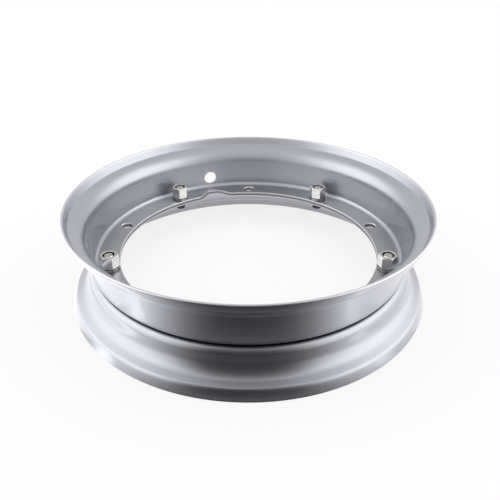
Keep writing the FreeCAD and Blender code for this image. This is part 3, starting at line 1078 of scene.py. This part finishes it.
washers_low, washers_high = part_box("spring_washers")
washer_section = rounded_rectangle(WASHER_INNER_RADIUS, WASHER_OUTER_RADIUS, washers_low.z, washers_high.z,
                                   WASHER_ROUND)
washers = make_piece("split_washers", section_mesh("washer_section", washer_section, True), washer_tree,
                     washer_inputs, {**clamp_values, "Material": spring_steel, "Reach": BLADE_REACH,
                                     "Slit": WASHER_SLIT, "Middle": (washers_low.z + washers_high.z) / 2})
dress(washers, "spring_washers")

# %% [markdown]
# ## The floor
#
# The rim lies on a white table. A plain white floor would come out grey beside a white background, so the
# floor shows the camera mostly its own white and keeps a pale shadow from the light that falls on it. Metal
# mirrors the floor, so it shows its white to reflections too, dimmer in front of the rim and under it,
# where a real table lies in shade. Seen from below the floor is clear, so the underside can be looked at.

# %% Helpers for the stage
def stage_material(name):
    """Stage material with an empty tree."""
    material = bpy.data.materials.new(name)
    material.use_nodes = True
    material.node_tree.nodes.clear()
    return material, material.node_tree


def mix_shaders(tree, share, first, second):
    """Shader between two shaders."""
    return add_node(tree, "ShaderNodeMixShader", {0: share, 1: first, 2: second}).outputs[0]


def glow_of(tree, strength):
    """White glow of a strength."""
    return add_node(tree, "ShaderNodeEmission", {"Color": (1, 1, 1, 1), "Strength": strength}).outputs[0]


def clear_view(tree):
    """Shader that lets everything through."""
    return add_node(tree, "ShaderNodeBsdfTransparent").outputs[0]


def stage_card(name, corners, material):
    """Stage card through four corners."""
    mesh = bpy.data.meshes.new(name)
    mesh.from_pydata(corners, [], [(0, 1, 2, 3)])
    mesh.materials.append(material)
    card = bpy.data.objects.new(name, mesh)
    bpy.context.scene.collection.objects.link(card)
    print(f"stage card {name} with {material.name}")
    return card


# %% Floor
FLOOR_HALF = 6.0
FLOOR_COLOUR = (0.9, 0.9, 0.9, 1)
FLOOR_GLOW = 0.8
MIRRORED_GLOW = 1.0
SHADE_DEPTH = 0.75
SHADE_PLACE = (0.0, -0.10, 0.0)
SHADE_REACH = 0.15
UNDER_RIM = (0.112, 0.124, 0.138, 0.144)
UNDER_DEPTH = 0.4


def pale_floor():
    """White table that shows its own white to the camera and to metal, and keeps a pale shadow."""
    material, tree = stage_material("pale_floor")
    place = object_place(tree)
    path = add_node(tree, "ShaderNodeLightPath").outputs
    away = add_node(tree, "ShaderNodeVectorMath", {0: place, 1: SHADE_PLACE}, operation="DISTANCE")
    unshaded = ramp(tree, away.outputs["Value"], 0.0, SHADE_REACH, MIRRORED_GLOW - SHADE_DEPTH, MIRRORED_GLOW)
    under = band(tree, length(tree, place), UNDER_RIM)
    lit = calc(tree, "MULTIPLY_ADD", under, -UNDER_DEPTH, 1.0)
    mirrored = calc(tree, "MAXIMUM", path["Is Glossy Ray"], path["Is Transmission Ray"])
    seen = product(tree, path["Is Camera Ray"], FLOOR_GLOW)
    share = calc(tree, "MULTIPLY_ADD", product(tree, mirrored, lit), unshaded, seen)
    matt = add_node(tree, "ShaderNodeBsdfDiffuse", {"Color": FLOOR_COLOUR}).outputs[0]
    top = mix_shaders(tree, share, matt, glow_of(tree, 1.0))
    below = add_node(tree, "ShaderNodeNewGeometry").outputs["Backfacing"]
    add_node(tree, "ShaderNodeOutputMaterial", {0: mix_shaders(tree, below, top, clear_view(tree))})
    return material


def flat_corners(left, right, front, back, height):
    """Corners of a level card, seen from above in turn."""
    return [(left, front, height), (right, front, height), (right, back, height), (left, back, height)]


stage_card("floor", flat_corners(-FLOOR_HALF, FLOOR_HALF, -FLOOR_HALF, FLOOR_HALF, 0.0), pale_floor())

# %% [markdown]
# ## The dark front of the table
#
# The front walls of the rim mirror the table and the room before it. A photographer lays a dark cloth there,
# which draws the dark bands that make a silver form readable. The cloth is black in the middle and paler to
# both sides, with a bright strip behind its edge on the left and on the right, and a faint light along the
# foot of the rim. It is drawn on a card that only reflections see, so the table stays white.

# %% Sizes of the dark front
FRONT_EDGE = -113.5 * MM
FRONT_EDGE_SKEW = -0.05
FRONT_SIZE = 0.6
FRONT_LIFT = 0.3 * MM
FRONT_DARK = 0.03
FRONT_PALE = 1.1
FRONT_BLEND = (0.1, 1.05)
FRONT_NARROW = 0.10
FRONT_SPREAD = 2.0
FOOT_RADIUS = FLANGE_RADIUS + 8.0 * MM
FOOT_REACH = 7.0 * MM
FOOT_GLOW = 0.3
STRIP_GLOW = {"left": 2.3, "right": 1.6}
STRIP_IN = 0.07
STRIP_OUT = 0.11
STRIP_REACH = (0.0075, 0.025)
STRIP_LEAST = 0.9
print(f"dark cloth in front of {FRONT_EDGE / MM:.1f} mm")


# %% The dark front
def dark_front():
    """Cloth over the table's front: black in the middle, paler to both sides, clear behind its edge."""
    material, tree = stage_material("dark_front")
    place = object_place(tree)
    x, y, _ = add_node(tree, "ShaderNodeSeparateXYZ", {0: place}).outputs
    half_width = calc(tree, "MULTIPLY_ADD", calc(tree, "SUBTRACT", FRONT_EDGE, y), FRONT_SPREAD, FRONT_NARROW)
    aside = calc(tree, "DIVIDE", calc(tree, "ABSOLUTE", x), half_width)
    shade = ramp(tree, aside, *FRONT_BLEND, FRONT_DARK, FRONT_PALE)
    off_foot = calc(tree, "ABSOLUTE", calc(tree, "SUBTRACT", polar(tree, place)[0], FOOT_RADIUS))
    cloth = calc(tree, "MAXIMUM", shade, ramp(tree, off_foot, 0.0, FOOT_REACH, FOOT_GLOW, 0.0))
    edge = calc(tree, "MULTIPLY_ADD", x, FRONT_EDGE_SKEW, FRONT_EDGE)
    in_front = calc(tree, "LESS_THAN", y, edge)
    strips = calc(tree, "ADD", ramp(tree, x, -STRIP_OUT, -STRIP_IN, STRIP_GLOW["left"], 0.0),
                  ramp(tree, x, STRIP_IN, STRIP_OUT, 0.0, STRIP_GLOW["right"]))
    near_edge = ramp(tree, calc(tree, "SUBTRACT", y, edge), *STRIP_REACH, 1.0, 0.0)
    on_strip = product(tree, near_edge, calc(tree, "GREATER_THAN", strips, STRIP_LEAST))
    strength = add_node(tree, "ShaderNodeMix", {0: in_front, 2: strips, 3: cloth}).outputs[0]
    shown = calc(tree, "MAXIMUM", in_front, on_strip)
    drawn = mix_shaders(tree, shown, clear_view(tree), glow_of(tree, strength))
    add_node(tree, "ShaderNodeOutputMaterial", {0: drawn})
    return material


def only_mirrored(card):
    """Leave a card to reflections: no camera, light, shadow or glass sees it."""
    for ray in ("camera", "diffuse", "shadow", "transmission"):
        setattr(card, "visible_" + ray, False)


front_corners = flat_corners(-FRONT_SIZE, FRONT_SIZE, -FRONT_SIZE, 0.0, FRONT_LIFT)
only_mirrored(stage_card("front_cloth", front_corners, dark_front()))

# %% [markdown]
# ## The dark card round the camera
#
# The bends and the lip look straight back at the camera, where the room is dark. A card in front of the lens
# gives them that darkness. It is black near the table and dim above, and its sides fade out, so no hard line
# shows in the paint.

# %% The camera card
CARD_PLACE = -0.18
CARD_MIDDLE = -0.005
CARD_REACH = 0.13
CARD_SOLID = 0.04
CARD_HEIGHT = 0.17
CARD_DARK = 0.03
CARD_DIM = 0.45
CARD_FADE = (0.05, 0.17)


def camera_card():
    """Card that is black near the table, dim above and clear towards its sides."""
    material, tree = stage_material("camera_card")
    x, _, z = add_node(tree, "ShaderNodeSeparateXYZ", {0: object_place(tree)}).outputs
    shade = ramp(tree, z, *CARD_FADE, CARD_DARK, CARD_DIM, "LINEAR")
    aside = calc(tree, "ABSOLUTE", calc(tree, "SUBTRACT", x, CARD_MIDDLE))
    faded = ramp(tree, aside, CARD_SOLID, CARD_REACH)
    drawn = mix_shaders(tree, faded, glow_of(tree, shade), clear_view(tree))
    add_node(tree, "ShaderNodeOutputMaterial", {0: drawn})
    return material


card_left = CARD_MIDDLE - CARD_REACH
card_right = CARD_MIDDLE + CARD_REACH
card_corners = [(card_left, CARD_PLACE, 0), (card_right, CARD_PLACE, 0),
                (card_right, CARD_PLACE, CARD_HEIGHT), (card_left, CARD_PLACE, CARD_HEIGHT)]
only_mirrored(stage_card("camera_card", card_corners, camera_card()))

# %% [markdown]
# ## Lights
#
# Two soft boxes stand to the left and the right, as in a small studio, and two light pads lie on the table
# beside the rim and brighten its outer walls from below. Each lamp is set by the radiance of its surface,
# from which its power follows, so a larger lamp doesn't look brighter in the paint.

# %% Lamps
BOX_RADIANCE = 0.25
BOX_WIDTH = 1.4
BOX_HEIGHT = 1.25
BOX_DISTANCE = 0.95
BOX_BACK = 0.12
PAD_RADIANCE = {"left": 0.6, "right": 0.22}
PAD_WIDTH = 0.4
PAD_LENGTH = 0.36
PAD_INSET = 0.125
PAD_LIFT = 0.2 * MM


def lamp_panel(name, width, height, radiance, place, facing):
    """Rectangular lamp that glows with a set radiance towards a direction."""
    lamp = bpy.data.lights.new(name, "AREA")
    lamp.shape = "RECTANGLE"
    lamp.size = width
    lamp.size_y = height
    lamp.energy = radiance * math.pi * width * height
    panel = bpy.data.objects.new(name, lamp)
    panel.location = place
    panel.rotation_euler = Vector(facing).to_track_quat("-Z", "Y").to_euler()
    bpy.context.scene.collection.objects.link(panel)
    print(f"lamp {name}: {lamp.energy:.3f} W")
    return panel


for side, word in ((-1, "left"), (1, "right")):
    lamp_panel("softbox_" + word, BOX_WIDTH, BOX_HEIGHT, BOX_RADIANCE,
               (side * BOX_DISTANCE, BOX_BACK, BOX_HEIGHT / 2), (-side, 0, 0))
    pad_front = FRONT_EDGE + FRONT_EDGE_SKEW * side * PAD_INSET
    pad = lamp_panel("light_pad_" + word, PAD_WIDTH, PAD_LENGTH, PAD_RADIANCE[word],
                     (side * (PAD_INSET + PAD_WIDTH / 2), pad_front + PAD_LENGTH / 2, PAD_LIFT), (0, 0, 1))
    pad.visible_camera = False

# %% [markdown]
# ## The tent
#
# The world is a white tent: even behind and above, darker towards the front and brighter to both sides up to
# the roof. Camera rays see plain white, so the background is white without more light on the object.

# %% World
TENT_GLOW = 0.86
FRONT_GLOW = 0.7
FRONT_LIMITS = (-1.0, -0.3)
SIDE_GLOW = 0.9
SIDE_LIMITS = (0.6, 1.0)
ROOF_LIMITS = (0.7, 0.95)
world = bpy.data.worlds.new("light_tent")
world.use_nodes = True
bpy.context.scene.world = world
sky = world.node_tree
direction = add_node(sky, "ShaderNodeTexCoord").outputs["Generated"]
x, y, z = add_node(sky, "ShaderNodeSeparateXYZ", {0: direction}).outputs
sideways = calc(sky, "DIVIDE", calc(sky, "ABSOLUTE", x), length(sky, combine(sky, x, y)))
tent = ramp(sky, y, *FRONT_LIMITS, FRONT_GLOW, TENT_GLOW)
sides = ramp(sky, sideways, *SIDE_LIMITS, 0.0, SIDE_GLOW, "LINEAR")
below_roof = ramp(sky, z, *ROOF_LIMITS, 1.0, 0.0)
glow = calc(sky, "MULTIPLY_ADD", sides, below_roof, tent)
seen = add_node(sky, "ShaderNodeLightPath").outputs["Is Camera Ray"]
shown = add_node(sky, "ShaderNodeMix", {0: seen, 2: glow, 3: 1.0})
sky.links.new(shown.outputs[0], sky.nodes["Background"].inputs["Strength"])
sky.nodes["Background"].inputs["Color"].default_value = (1, 1, 1, 1)
print("world:", world.name)

# %% [markdown]
# ## The camera
#
# The camera stands where the photographer's did. Its height, tilt and lens were found by fitting the round
# edges of the rim, which show as ellipses, and a small shift sets the frame as the picture was cut.

# %% Camera
LENS = 41.36
CAMERA_PLACE = (0.00115, -0.40197, 0.26519)
CAMERA_PITCH = math.radians(62.144)
FRAME_SHIFT = -0.0566
lens = bpy.data.cameras.new("camera")
lens.lens = LENS
lens.shift_y = FRAME_SHIFT
camera = bpy.data.objects.new("camera", lens)
camera.location = CAMERA_PLACE
camera.rotation_euler = (CAMERA_PITCH, 0, 0)
bpy.context.scene.collection.objects.link(camera)
bpy.context.scene.camera = camera
bpy.context.scene.view_settings.view_transform = "Standard"
print(f"camera {CAMERA_PLACE[2]:.3f} m high with a {LENS:.1f} mm lens")
